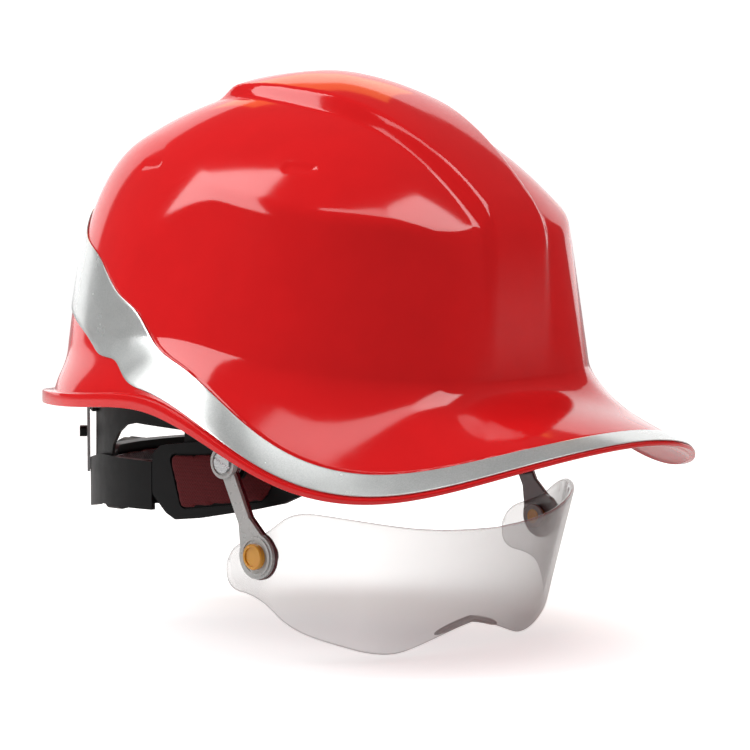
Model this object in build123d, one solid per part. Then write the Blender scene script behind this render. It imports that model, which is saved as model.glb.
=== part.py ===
from build123d import *
import math
import os
import numpy as np

# Safety helmet in the shape of a baseball cap, with a swing-down eye shield and a size
# adjuster at the nape.  Millimetres.  The wearer faces -Y, the wearer's right is -X and
# +Z is up.  X = Y = 0 is the axis of the dome; Z = 0 is where the forehead wall meets the bill.
# Azimuths (phi) run from 0 at the front centre to 180 at the back centre, in degrees.

os.makedirs("parts", exist_ok=True)

# ---------------------------------------------------------------- shell, driving dimensions
WALL_THICK = 2.4                # moulded plastic, all over
CROWN_Z = 116.5
CROWN_FLAT_R = 6.0              # the very top is drawn as a small flat disc
CROWN_FLAT_DROP = 0.15
DOME_SIDE = 110.5               # half axes of the dome
DOME_FRONT = 126.0
DOME_BACK = 138.0
DOME_PLAN_POWER = 2.34          # 2 would be an ellipse in plan
DOME_RISE_FRONT = 1.66          # below 2 the dome falls away straighter
DOME_RISE_BACK = 1.96
WALL_SIDE = 95.0                # half axes of the wall at Z = 0
WALL_FRONT = 109.0
WALL_BACK = 120.5
WALL_PLAN_POWER = 2.15
WALL_TAPER_SIDE = 0.0023        # share of the half axis lost per mm of height
WALL_TAPER_FRONT = 0.0010
WALL_TAPER_BACK = 0.0006
PANEL_Y = 102.0                 # flat forehead panel, ahead of the axis
PANEL_LEAN = 2.6                # degrees
CREASE_ROUND = 5.0              # rounding of the brow crease, in front and at the back
CREASE_ROUND_BACK = 27.0

RIDGE_RISE = 4.5                # raised panel that runs over the crown
RIDGE_HALF_BROW = 17.0
RIDGE_HALF_CROWN = 32.0
RIDGE_HALF_REAR = 24.0
RIDGE_EDGE = 5.0
RIDGE_FRONT_Y = -110.0
RIDGE_BACK_Y = 60.0

FOLD_Z = {0: 0, 30: 2.5, 60: 7.6, 90: 17, 112: 15, 137: 8, 160: 1, 180: 0}
RIM_RADIUS = {0: 160, 20: 155.6, 39: 142.6, 55: 128.2, 75: 113, 90: 105.5, 115: 108.5,
              137: 114.5, 160: 123.4, 180: 127}
RIM_Z = {0: -21.5, 20: -28.4, 39: -39, 55: -34.4, 75: -14.6, 90: -6.6, 110: -7.6,
         140: -11.3, 160: -14.2, 180: -15}
RIM_SLOPE = {0: 22, 39: 42, 80: 62, 105: 70, 140: 75, 180: 75}     # degrees below level
LEDGE = {0: 0.3, 36: 0.3, 55: 0.8, 80: 3.5, 105: 4.5, 180: 5.5}    # step out at the rim
LIP = {0: 2.2, 36: 2.6, 55: 3.5, 80: 5.0, 105: 5.5, 180: 5.5}      # drop of the rim's edge
FOLD_PULL = {0: 10, 39: 12, 80: 8, 110: 8, 180: 6}                 # how softly wall turns to bill
RIM_PULL = {0: 30, 39: 22, 80: 14, 110: 10, 180: 8}
LIP_THICK = 2.6

TRIM_LOW = {0: 2, 60: 2, 92: 2, 99: 5, 107: 14, 115: 17, 126: 25, 131: 28, 151: 38, 180: 45}
TRIM_HIGH = {0: 10, 41: 12, 63: 14, 82: 17, 97: 24, 104: 34, 114: 43, 127: 57, 144: 68,
             151: 76, 180: 82}  # band edges, mm up the skin from the rim
TRIM_THICK = 0.5
TRIM_GAP = 0.2

RING_POINTS = 72
DOME_RINGS = 15
SKIRT_RINGS = 6


# ---------------------------------------------------------------- shell, surface
def keyed(keys, phi):
    """Smooth even curve through {azimuth in degrees: value}, at azimuths phi in radians."""
    at = np.radians(np.array(sorted(keys), float))
    val = np.array([keys[k] for k in sorted(keys)], float)
    n, h = len(at), np.diff(at)
    m, rhs = np.zeros((n, n)), np.zeros(n)
    m[0, :2] = 2 * h[0], h[0]
    m[-1, -2:] = h[-1], 2 * h[-1]
    rhs[0] = 6 * (val[1] - val[0]) / h[0]
    rhs[-1] = -6 * (val[-1] - val[-2]) / h[-1]
    for i in range(1, n - 1):
        m[i, i - 1:i + 2] = h[i - 1], 2 * (h[i - 1] + h[i]), h[i]
        rhs[i] = 6 * ((val[i + 1] - val[i]) / h[i] - (val[i] - val[i - 1]) / h[i - 1])
    bend = np.linalg.solve(m, rhs)
    x = np.abs((np.asarray(phi, float) + np.pi) % (2 * np.pi) - np.pi)
    i = np.clip(np.searchsorted(at, x) - 1, 0, n - 2)
    left, right = at[i + 1] - x, x - at[i]
    cubic = (bend[i] * left ** 3 + bend[i + 1] * right ** 3) / (6 * h[i])
    return (cubic + (val[i] / h[i] - bend[i] * h[i] / 6) * left
            + (val[i + 1] / h[i] - bend[i + 1] * h[i] / 6) * right)


def soft_min(a, b, width):
    """The smaller of a and b, with the corner rounded over a width."""
    mix = np.clip(0.5 + 0.5 * (b - a) / width, 0, 1)
    return b + (a - b) * mix - width * mix * (1 - mix)


def smooth(t):
    t = np.clip(t, 0, 1)
    return t * t * (3 - 2 * t)


def dome_radius(dx, dy, dz):
    """Distance from the origin to the skin above the fold, along a unit direction."""
    level = np.hypot(dx, dy) + 1e-9
    ahead = -dy / level
    dome_y = np.where(dy < 0, DOME_FRONT, DOME_BACK)
    wall_y = np.where(dy < 0, WALL_FRONT, WALL_BACK)
    rise = DOME_RISE_BACK + (DOME_RISE_FRONT - DOME_RISE_BACK) * smooth((ahead + 0.7) / 1.4)
    plan = np.abs(dx / DOME_SIDE) ** DOME_PLAN_POWER + np.abs(dy / dome_y) ** DOME_PLAN_POWER
    dome = (plan ** (rise / DOME_PLAN_POWER) + np.abs(dz / CROWN_Z) ** rise) ** (-1 / rise)
    plan = np.abs(dx / WALL_SIDE) ** WALL_PLAN_POWER + np.abs(dy / wall_y) ** WALL_PLAN_POWER
    taper_y = np.where(dy < 0, WALL_TAPER_FRONT, WALL_TAPER_BACK)
    taper = WALL_TAPER_SIDE * (dx / level) ** 2 + taper_y * (dy / level) ** 2
    wall = 1 / (plan ** (1 / WALL_PLAN_POWER) + taper * dz + 1e-9)
    lean = math.radians(PANEL_LEAN)
    facing = np.maximum(-dy * math.cos(lean) + dz * math.sin(lean), 0.05)
    panel = PANEL_Y * math.cos(lean) / facing
    rounding = CREASE_ROUND + (CREASE_ROUND_BACK - CREASE_ROUND) * smooth(0.2 - ahead)
    return soft_min(soft_min(dome, wall, rounding), panel, 6.0)


def ridge_rise(x, y):
    """Height of the raised crown panel above the dome, at a point in plan."""
    half = (RIDGE_HALF_BROW
            + (RIDGE_HALF_CROWN - RIDGE_HALF_BROW) * smooth((y + 105) / 110)
            - (RIDGE_HALF_CROWN - RIDGE_HALF_REAR) * smooth((y - 10) / 50))
    across = smooth((half + RIDGE_EDGE / 2 - np.abs(x)) / RIDGE_EDGE)
    along = smooth((RIDGE_BACK_Y - y) / 18) * smooth((y - RIDGE_FRONT_Y) / 20)
    return RIDGE_RISE * across * along


def skin_profile(phi, dome_rings, skirt_rings):
    """Radius and height of the outer skin, one row per ring from near the crown to the rim."""
    sx, sy = np.sin(phi), -np.cos(phi)
    fold = keyed(FOLD_Z, phi)
    low = np.zeros_like(phi)
    for _ in range(12):
        r = dome_radius(np.cos(low) * sx, np.cos(low) * sy, np.sin(low))
        low = np.arctan2(fold, r * np.cos(low))
    t = np.linspace(0, 1, dome_rings + 1)[1:, None]
    rise = (np.pi / 2) * (1 - t) + low * t
    r = dome_radius(np.cos(rise) * sx, np.cos(rise) * sy, np.sin(rise))
    r = r + ridge_rise(r * np.cos(rise) * sx, r * np.cos(rise) * sy) * smooth(np.sin(rise) / 0.5)
    rho, z = r * np.cos(rise), r * np.sin(rise)
    foot = np.stack([rho[-1], z[-1]])
    step = foot - np.stack([rho[-2], z[-2]])
    step = step / np.linalg.norm(step, axis=0)
    slope = np.radians(keyed(RIM_SLOPE, phi))
    edge = np.stack([keyed(RIM_RADIUS, phi), keyed(RIM_Z, phi)])
    pull_a = foot + step * keyed(FOLD_PULL, phi)
    pull_b = edge - np.stack([np.cos(slope), -np.sin(slope)]) * keyed(RIM_PULL, phi)
    s = np.linspace(0, 1, skirt_rings + 1)[1:, None, None]
    skirt = ((1 - s) ** 3 * foot + 3 * (1 - s) ** 2 * s * pull_a
             + 3 * (1 - s) * s ** 2 * pull_b + s ** 3 * edge)
    return np.vstack([rho, skirt[:, 0]]), np.vstack([z, skirt[:, 1]])


def offset_profile(rho, z, distance):
    """Move each profile square to itself; positive is outward."""
    drho, dz = np.gradient(rho, axis=0), np.gradient(z, axis=0)
    length = np.hypot(drho, dz)
    return rho - dz / length * distance, z + drho / length * distance


def ring_wire(phi, rho, z):
    """Closed spline through one ring; equal parameters keep neighbouring rings alike."""
    points = [Vector(float(r * math.sin(a)), float(-r * math.cos(a)), float(h))
              for a, r, h in zip(phi, rho, z)]
    marks = [i / len(points) for i in range(len(points) + 1)]
    return Wire([Edge.make_spline(points, periodic=True, parameters=marks)])


def closed_solid(shells):
    faces = ShapeList([face for shell in shells for face in shell.faces()])
    solid = Solid(Shell(faces))
    return solid if solid.volume > 0 else -solid


def skin_lofts(rings):
    """Faces through a stack of rings, parted where the skin changes direction."""
    breaks = [0] + [DOME_RINGS * k // 3 for k in (1, 2, 3)] + [len(rings) - 1]
    return [Shell.make_loft(rings[a:b + 1]) for a, b in zip(breaks, breaks[1:]) if b > a]


def make_shell():
    phi = np.arange(RING_POINTS) * 2 * np.pi / RING_POINTS
    rho, z = skin_profile(phi, DOME_RINGS, SKIRT_RINGS)
    inner_rho, inner_z = offset_profile(rho, z, -WALL_THICK)
    rim_r, rim_z = rho[-1], z[-1]
    ledge, lip = keyed(LEDGE, phi), keyed(LIP, phi)

    flat = np.ones_like(phi)
    top = CROWN_Z + RIDGE_RISE - CROWN_FLAT_DROP
    outer = [ring_wire(phi, flat * CROWN_FLAT_R, flat * top)]
    outer += [ring_wire(phi, rho[i], z[i]) for i in range(len(rho))]
    inner = [ring_wire(phi, flat * CROWN_FLAT_R, flat * (top - WALL_THICK))]
    inner += [ring_wire(phi, inner_rho[i], inner_z[i]) for i in range(len(rho) - 1)]
    edge = [outer[-1],
            ring_wire(phi, rim_r + ledge, rim_z),
            ring_wire(phi, rim_r + ledge, rim_z - lip),
            ring_wire(phi, rim_r + ledge - LIP_THICK, rim_z - lip),
            inner[-1]]
    rims = [Shell.make_loft([a, b], ruled=True) for a, b in zip(edge, edge[1:])]
    caps = [Face(outer[0]), Face(inner[0])]
    return closed_solid(skin_lofts(outer) + rims + skin_lofts(inner) + caps)


# ---------------------------------------------------------------- harness, driving dimensions
# Everything that goes round the head follows one plan curve: a half circle behind RING_Y and
# a fuller curve ahead of it.  Theta is measured round that curve from the back centre, in
# degrees, up to 180 at the front; positive is the wearer's right.  Layers are offsets
# outward from the curve.
RING_R = 76.0
RING_Y = 30.0
RING_FRONT = 109.0
RING_POWER = 2.3

HEADBAND_LAYER = (0.0, 1.5)
HEADBAND_END = 75.0
HEADBAND_SIDE_VIEW = [(66, -37), (20, -35.5), (9.2, -35), (9.2, -14), (-40, -13), (-60, -10),
                      (-90, -8), (-90, -33), (-55, -42), (-20, -49), (20, -53), (66, -53)]
YOKE_SIDE_VIEW = [(101.5, -45), (84, -43), (79, -38), (77, -14), (9.6, -14), (9.6, -22.5),
                  (37, -21.4), (44, -22.8), (49, -25.9), (54, -31.5), (56, -38), (52, -45),
                  (52, -53), (80, -56), (101.5, -60)]
YOKE_THETA = (22.4, 100.0)

FRAME_LAYER = (1.6, 4.1)
FRAME_SIDE_VIEW = [(24.5, -33), (20, -29), (3, -26.6), (-20, -24.5), (-40, -23), (-50, -28),
                   (-52, -41), (-37, -49), (-25, -52), (-1, -56.8), (12, -58.4), (17, -56),
                   (24.5, -49)]
PANEL_SIDE_VIEW = [(15.5, -32), (9, -54), (-30, -48.6), (-35, -39), (-31, -28.5)]
PANEL_DEPTH = 1.5
PANEL_PROUD = 0.6
PANEL_CLEAR = 0.2

BROW_PAD_LAYER = (-4.8, -0.3)
BROW_PAD_END = 108.0
BROW_PAD_SIDE_VIEW = [(-4, -28), (-45, -21), (-90, -15), (-90, -36), (-45, -43), (-4, -48)]
NAPE_PAD_LAYER = (-5.0, -1.1)
NAPE_PAD_THETA = 33.0
NAPE_PAD_Z = (-65.0, -42.0)

# size adjuster: two curved straps slide in the housing, driven by a pinion between their racks
KNOB_Z = -53.0
STRAP_LAYER = (1.7, 3.7)
STRAP_END = 91.5
STRAP_FULL = 31.0               # the strap keeps its full height up to here
STRAP_SIDE_VIEW = [(20, -36), (62, -36), (97, -43), (97, -63), (62, -56.5), (20, -55.5)]
TAIL_TIP = -4.0
TAIL_OUT = 8.6                  # far edge of a tail from the knob's axis
RATCHET_TRAVEL = 12.0           # degrees that each strap moves round the ring
GEAR_MODULE = 0.8
GEAR_TEETH = 12
GEAR_ADDENDUM = 0.6
RACK_ADDENDUM = 0.55
GEAR_DEDENDUM = 0.8
GEAR_PRESSURE = 20.0
GEAR_BACKLASH = 0.2
PINION_Y = (107.65, 109.6)
HOUSING_THETA = 22.0
HOUSING_Z = (-67.0, -39.0)
BASE_LAYER = (-0.8, 1.4)
COVER_LAYER = (1.45, 6.5)
CHANNEL_LAYER = (1.45, 3.95)
CHANNEL_HALF = 10.6
SHAFT_R = 2.5
SHAFT_TAIL_R = 1.5
RUNNING_GAP = 0.05
KNOB_R = 14.0
KNOB_Y = (112.9, 124.5)
KNOB_GRIPS = 12

STRIP_THETA = (43.0, 49.5)      # height strip and its peg, outside the yoke's leg
STRIP_LAYER = (3.9, 5.0)
STRIP_Z = (-46.0, -17.0)
PEG_THETA = 46.2
PEG_Z = -29.5
PEG_SIZE = (7.0, 4.2)

ANCHORS = {"front": 140.0, "side": 98.7, "rear": 52.0}
ANCHOR_SOCKET_Z = {"front": 24.0, "side": 34.0, "rear": 30.0}
ANCHOR_WIDTH = 12.0
ANCHOR_THICK = 2.0
SOCKET_SIZE = (19.0, 6.5, 14.0)
CROWN_STRAP_WIDTH = 18.0
CROWN_STRAP_THICK = 1.2
CROWN_STRAP_TOP = {"side": 84.0, "right": 86.2, "left": 88.4}
CROWN_STRAP_FOOT = -12.0
CROWN_STRAP_INSET = 1.8
CROWN_CENTRE_Y = 9.0
CROWN_PAD_R = 34.0
CROWN_PAD_THICK = 6.0


def linspace(a, b, n):
    return [a + (b - a) * i / (n - 1) for i in range(n)]


def ring_frame(theta, off=0.0):
    """Point on the plan curve, moved outward by off, and the outward direction there."""
    theta = (theta + 180) % 360 - 180
    a = math.radians(abs(theta))
    side = -1 if theta > 0 else 1
    if a <= math.pi / 2:
        nx, ny = math.sin(a), math.cos(a)
        x, y = RING_R * nx, RING_R * ny
    else:
        b = a - math.pi / 2
        c, s = abs(math.cos(b)), math.sin(b)
        x, y = RING_R * c ** (2 / RING_POWER), -RING_FRONT * s ** (2 / RING_POWER)
        gx = (x / RING_R) ** (RING_POWER - 1) / RING_R
        gy = -(-y / RING_FRONT) ** (RING_POWER - 1) / RING_FRONT
        nx, ny = gx / math.hypot(gx, gy), gy / math.hypot(gx, gy)
    return side * (x + nx * off), RING_Y + y + ny * off, side * nx, ny


def ring_sector(layer, start, end, low=-110.0, high=60.0):
    """A piece of the ring between two offsets and two thetas."""
    steps = max(5, int(abs(end - start) / 4) + 1)
    inside = [ring_frame(t, layer[0])[:2] for t in linspace(start, end, steps)]
    outside = [ring_frame(t, layer[1])[:2] for t in linspace(end, start, steps)]
    edges = [Spline(*inside), Line(inside[-1], outside[0]),
             Spline(*outside), Line(outside[-1], inside[0])]
    return Pos(0, 0, low) * extrude(make_face(edges), high - low)


def side_view_prism(outline, corner=0.0, half=130.0):
    """A side view outline of (y, z) points, carried right across the helmet."""
    face = make_face(Polyline(*outline, close=True))
    if corner:
        face = fillet(face.vertices(), corner)
    return extrude(Plane.YZ * face, half, both=True)


def front_view_prism(outline, half=160.0):
    points = [(x, z) for x, z in outline]
    return extrude(Plane.XZ * make_face(Polyline(*points, close=True)), half, both=True)


def shrunk(outline, amount):
    """The same outline with every side moved inward."""
    face = make_face(Polyline(*outline, close=True))
    return offset(face, amount=-amount, kind=Kind.INTERSECTION)


def left_of(right):
    return mirror(right, Plane.YZ)


def make_headband():
    ring = ring_sector(HEADBAND_LAYER, HEADBAND_END, 360 - HEADBAND_END)
    return ring & side_view_prism(HEADBAND_SIDE_VIEW, 2.0)


def make_brow_pad():
    ring = ring_sector(BROW_PAD_LAYER, BROW_PAD_END, 360 - BROW_PAD_END)
    return ring & side_view_prism(BROW_PAD_SIDE_VIEW, 3.0)


def make_yoke():
    return ring_sector(HEADBAND_LAYER, *YOKE_THETA) & side_view_prism(YOKE_SIDE_VIEW, 1.5)


def panel_block(layer, clear=0.0):
    """The side panel's shape on the wearer's right, between two offsets of the ring."""
    face = fillet(make_face(Polyline(*PANEL_SIDE_VIEW, close=True)).vertices(), 3.0)
    if clear:
        face = offset(face, amount=-clear)
    return ring_sector(layer, 80, 150, -80, 0) & x_plate(face, 40, 110)


def make_side_frame():
    frame = ring_sector(FRAME_LAYER, 85, 140) & side_view_prism(FRAME_SIDE_VIEW, 3.0)
    return frame - panel_block((FRAME_LAYER[1] - PANEL_DEPTH, FRAME_LAYER[1] + 2))


def make_side_pad():
    layer = (FRAME_LAYER[1] - PANEL_DEPTH + 0.05, FRAME_LAYER[1] + PANEL_PROUD)
    return panel_block(layer, PANEL_CLEAR)


# ---------------------------------------------------------------- size adjuster
def rack_tooth(up):
    """One rack tooth, drawn about its centre line; up is +1 for teeth that point up."""
    half = (math.pi * GEAR_MODULE / 2 - GEAR_BACKLASH / 2) / 2
    slope = math.tan(math.radians(GEAR_PRESSURE))
    tip, root = RACK_ADDENDUM, GEAR_DEDENDUM + 0.1
    outline = [(-half - root * slope, -up * root), (half + root * slope, -up * root),
               (half - tip * slope, up * tip), (-half + tip * slope, up * tip)]
    thick = STRAP_LAYER[1] - STRAP_LAYER[0]
    prism = extrude(Plane.XZ * make_face(Polyline(*outline, close=True)), thick / 2, both=True)
    return Pos(0, RING_R + sum(STRAP_LAYER) / 2, 0) * prism


def make_strap(side):
    """side 1 is the wearer's right, whose rack runs above the pinion."""
    body = ring_sector(STRAP_LAYER, STRAP_FULL, STRAP_END) & side_view_prism(STRAP_SIDE_VIEW)
    pitch_r = GEAR_MODULE * GEAR_TEETH / 2
    root = pitch_r + GEAR_DEDENDUM
    if side > 0:
        low, high = KNOB_Z + root, KNOB_Z + TAIL_OUT
    else:
        low, high = KNOB_Z - TAIL_OUT, KNOB_Z - root
    tail = ring_sector(STRAP_LAYER, TAIL_TIP, STRAP_FULL + 0.5, low, high)
    pitch = math.degrees(math.pi * GEAR_MODULE / (RING_R + sum(STRAP_LAYER) / 2))
    first = math.ceil((TAIL_TIP + 1) / pitch - 0.5)
    last = math.floor((RATCHET_TRAVEL + 6) / pitch)
    teeth = [Pos(0, RING_Y, KNOB_Z + side * pitch_r) * (Rot(0, 0, (i + 0.5) * pitch)
             * rack_tooth(-side)) for i in range(first, last)]
    strap = body + tail + teeth
    return strap if side > 0 else left_of(strap)


def make_pinion():
    pitch_r = GEAR_MODULE * GEAR_TEETH / 2
    pressure = math.radians(GEAR_PRESSURE)
    base_r = pitch_r * math.cos(pressure)
    tip_r, root_r = pitch_r + GEAR_ADDENDUM, pitch_r - GEAR_DEDENDUM
    half = (math.pi * GEAR_MODULE / 2 - GEAR_BACKLASH / 2) / 2 / pitch_r

    def involute(r):
        a = math.acos(base_r / r)
        return math.tan(a) - a

    at_pitch = involute(pitch_r)
    flank = [(r, half + at_pitch - involute(r)) for r in linspace(base_r, tip_r, 6)]
    points = []
    for tooth in range(GEAR_TEETH):
        mid = math.pi / 2 + tooth * 2 * math.pi / GEAR_TEETH
        side = [(root_r, flank[0][1])] + flank
        for r, a in side:
            points.append((r * math.cos(mid - a), r * math.sin(mid - a)))
        for r, a in reversed(side):
            points.append((r * math.cos(mid + a), r * math.sin(mid + a)))
    gear = extrude(Plane.XZ * make_face(Polyline(*points, close=True)), -(PINION_Y[1] - PINION_Y[0]))
    gear = Pos(0, PINION_Y[0], KNOB_Z) * gear
    shaft = y_cylinder(SHAFT_R, PINION_Y[1] - 0.2, KNOB_Y[0] + 6, KNOB_Z)
    tail = y_cylinder(SHAFT_TAIL_R, RING_Y + RING_R + BASE_LAYER[0] + 0.3, PINION_Y[0] + 0.2, KNOB_Z)
    return gear + shaft + tail


def y_cylinder(r, y0, y1, z, x=0.0):
    return Pos(x, (y0 + y1) / 2, z) * (Rot(90, 0, 0) * Cylinder(r, y1 - y0))


def x_cylinder(r, x0, x1, y, z):
    return Pos((x0 + x1) / 2, y, z) * (Rot(0, 90, 0) * Cylinder(r, abs(x1 - x0)))


def rounded_box_prism(half_x, low, high, corner):
    face = Pos(0, (low + high) / 2) * RectangleRounded(2 * half_x, high - low, corner)
    return extrude(Plane.XZ * face, 160, both=True)


def make_ratchet_base():
    plate = ring_sector(BASE_LAYER, -HOUSING_THETA, HOUSING_THETA)
    half_x = (RING_R + BASE_LAYER[1]) * math.sin(math.radians(HOUSING_THETA))
    plate = plate & rounded_box_prism(half_x, *HOUSING_Z, 5.0)
    return plate - y_cylinder(SHAFT_TAIL_R + RUNNING_GAP, 95, 115, KNOB_Z)


def make_ratchet_cover():
    cover = ring_sector(COVER_LAYER, -HOUSING_THETA, HOUSING_THETA)
    half_x = (RING_R + BASE_LAYER[1]) * math.sin(math.radians(HOUSING_THETA))
    cover = cover & rounded_box_prism(half_x, *HOUSING_Z, 5.0)
    channel = ring_sector((CHANNEL_LAYER[0] - 1, CHANNEL_LAYER[1]), -HOUSING_THETA - 5, HOUSING_THETA + 5,
                          KNOB_Z - CHANNEL_HALF, KNOB_Z + CHANNEL_HALF)
    return cover - channel - y_cylinder(SHAFT_R + RUNNING_GAP, 105, 120, KNOB_Z)


def make_knob():
    y0, y1 = KNOB_Y
    knob = y_cylinder(KNOB_R, y0, y1, KNOB_Z)
    outer = knob.faces().sort_by(Axis.Y)[-1].edges()
    knob = fillet(outer, 2.0)
    for i in range(KNOB_GRIPS):
        a = 2 * math.pi * i / KNOB_GRIPS
        x, z = (KNOB_R + 1.6) * math.cos(a), (KNOB_R + 1.6) * math.sin(a)
        knob -= y_cylinder(2.6, y0 + 2.5, y1 + 1, KNOB_Z + z, x)
    knob -= y_cylinder(8.5, y1 - 1.2, y1 + 1, KNOB_Z)
    return knob - y_cylinder(SHAFT_R + 0.02, y0 - 1, y0 + 6.1, KNOB_Z)


def make_nape_pad():
    pad = ring_sector(NAPE_PAD_LAYER, -NAPE_PAD_THETA, NAPE_PAD_THETA)
    half_x = (RING_R + NAPE_PAD_LAYER[1]) * math.sin(math.radians(NAPE_PAD_THETA))
    return pad & rounded_box_prism(half_x, *NAPE_PAD_Z, 8.0)


def make_height_strip():
    return ring_sector(STRIP_LAYER, *STRIP_THETA, *STRIP_Z)


def make_height_peg():
    x, y, nx, ny = ring_frame(PEG_THETA, 5.05)
    plane = Plane(origin=(x, y, PEG_Z), x_dir=(-ny, nx, 0), z_dir=(nx, ny, 0))
    peg = extrude(plane * RectangleRounded(*PEG_SIZE, 1.0), 3.0)
    return peg


# ---------------------------------------------------------------- anchors and crown straps
def wall_distance(x, y, nx, ny, z):
    """How far the shell's inner face is from a point, level and along a direction."""
    near, far = 0.0, 60.0
    for _ in range(40):
        mid = (near + far) / 2
        px, py = x + nx * mid, y + ny * mid
        r = math.sqrt(px * px + py * py + z * z)
        skin = float(dome_radius(np.array([px / r]), np.array([py / r]), np.array([z / r]))[0])
        if r < skin - WALL_THICK:
            near = mid
        else:
            far = mid
    return near


def anchor_plane(theta):
    """Upright plane square to the ring: x is outward, y is up."""
    x, y, nx, ny = ring_frame(theta)
    return Plane(origin=(x, y, 0), x_dir=(nx, ny, 0), z_dir=(ny, -nx, 0))


def make_anchor(theta, socket_z):
    """Clip from the ring up into a socket on the shell, and that socket."""
    x, y, nx, ny = ring_frame(theta)
    gap = wall_distance(x, y, nx, ny, socket_z)
    t = ANCHOR_THICK
    inner = FRAME_LAYER[0]
    tongue = gap - 4.6                      # inner face of the upright tongue
    low, bend = -20.0, socket_z - 16
    rise = [(inner, low), (inner, bend), (tongue, bend + 6), (tongue, socket_z + 5),
            (tongue + t, socket_z + 5), (tongue + t, bend + 4.5), (inner + t, bend - 1.5),
            (inner + t, low)]
    plane = anchor_plane(theta)
    clip = extrude(plane * make_face(Polyline(*rise, close=True)), ANCHOR_WIDTH / 2, both=True)
    width, depth, height = SOCKET_SIZE
    block = Pos(gap + 1.3 - depth / 2, socket_z) * Rectangle(depth, height)
    slot = Pos(tongue + t / 2, socket_z) * Rectangle(t + 0.4, height + 2)
    socket = extrude(plane * block, width / 2, both=True) \
        - extrude(plane * slot, ANCHOR_WIDTH / 2 + 0.3, both=True)
    return clip, socket


def make_crown_strap(start, end, top):
    """Webbing over the head between two ring points given by theta."""
    ax, ay = ring_frame(start, -CROWN_STRAP_INSET)[:2]
    bx, by = ring_frame(end, -CROWN_STRAP_INSET)[:2]
    mid = ((ax + bx) / 2, (ay + by) / 2)
    half = math.hypot(bx - ax, by - ay) / 2
    way = ((bx - ax) / (2 * half), (by - ay) / (2 * half))
    height = top - CROWN_STRAP_FOOT

    def arch(a, h):
        return [(a * math.copysign(abs(math.cos(t)) ** 0.85, math.cos(t)),
                 CROWN_STRAP_FOOT + h * math.sin(t) ** 0.85)
                for t in linspace(0.0, math.pi, 25)]

    t = CROWN_STRAP_THICK
    outside, inside = arch(half, height), arch(half - t, height - t)[::-1]
    face = make_face([Spline(*outside), Line(outside[-1], inside[0]), Spline(*inside),
                      Line(inside[-1], outside[0])])
    plane = Plane(origin=(mid[0], mid[1], 0), x_dir=(way[0], way[1], 0), z_dir=(way[1], -way[0], 0))
    return extrude(plane * face, CROWN_STRAP_WIDTH / 2, both=True)


def make_crown_pad():
    top = CROWN_STRAP_TOP["side"] - CROWN_STRAP_THICK - 0.4
    rim = top - 9.0
    outline = [(0, top), (CROWN_PAD_R * 0.5, top - 2.0), (CROWN_PAD_R, rim)]
    low = [(CROWN_PAD_R, rim - 2.5), (CROWN_PAD_R * 0.5, top - 2.0 - CROWN_PAD_THICK), (0, top - CROWN_PAD_THICK)]
    face = make_face([Spline(*outline), Line(outline[-1], low[0]), Spline(*low), Line(low[-1], outline[0])])
    return Pos(0, CROWN_CENTRE_Y, 0) * revolve(Plane.XZ * face, Axis.Z)


# ---------------------------------------------------------------- eye shield, dimensions
HUB_Y, HUB_Z = -23.5, -32.0     # axis on which the arms swing
TILT_Y, TILT_Z = -41.0, -67.5   # axis on which the lens tilts
BRACKET_X = (81.2, 83.0)
BRACKET_HALF = 8.0
BRACKET_SCREW_Z = (14.0, 22.5)
BRACKET_SCREW_BITE = 3.0
BRACKET_TOP = 27.0
BOSS_R = 4.0
SCREW_R = 1.5
WASHER_X = (83.05, 84.55)
WASHER_R = 6.0
SPINE_X = (84.6, 85.9)
ARM_X = (85.9, 87.4)
ARM_HALF = 3.1
ARM_HUB_R = 6.4
ARM_BOSS_R = 9.0
ARM_RIM = 1.1
PIVOT_R = 2.5
PIVOT_HEAD_R = 4.1
PIVOT_HEAD_X = (87.45, 88.7)
TILT_R = 3.0
TILT_KNOB_R = 5.1
TILT_KNOB_X = (87.45, 89.8)
TILT_FLANGE_X = (79.7, 80.9)
LENS_HALF_WIDTH = 83.2
LENS_EAR_Y = -44.0
LENS_FRONT_Y = -90.0
LENS_LEVEL_Z = -57.7            # the plan shape is drawn at this height
LENS_TILT = 17.0                # degrees swept back towards the cheeks
LENS_THICK = 2.2
LENS_BAND_UP = 20.0
LENS_BAND_DOWN = 60.0
LENS_EAR_TOP = -52.9
LENS_EAR_BOTTOM = -81.7
LENS_EAR_VIEW = [(-41.8, -53.9), (-31.3, -57.3), (-27.6, -59.6), (-24.9, -63.5), (-24, -68.7),
                 (-24.9, -74.3), (-26.8, -79), (-30, -81.3)]
LENS_FRONT_VIEW = [(0, -60.4), (13, -59.5), (30, -58.2), (57, -55.2), (71, -52.1), (83, -49.2),
                   (92, -46.5), (92, -84), (84, -90), (80, -96), (76, -100.5), (70, -104.4),
                   (59, -107.8), (42, -109.2), (32, -109.2), (26, -108.4), (20, -106.3),
                   (12, -101.8), (6, -99.9)]
LENS_SIDE_VIEW = [(-130, -40), (-56, -40), (-55.5, -46.5), (-54, -50.4), (-49.7, -52.2),
                  (-41.8, -53.9), (-20, -60), (-20, -81), (-36.3, -81.6), (-41, -83.1),
                  (-46.5, -86.5), (-48.5, -92), (-48.5, -125), (-130, -125)]
NOSE_PAD_FRONT_VIEW = [(0, -98.8), (6, -99.6), (12, -101.6), (20, -106), (20, -101.5),
                       (12, -97), (6, -95), (0, -94.2)]


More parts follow.
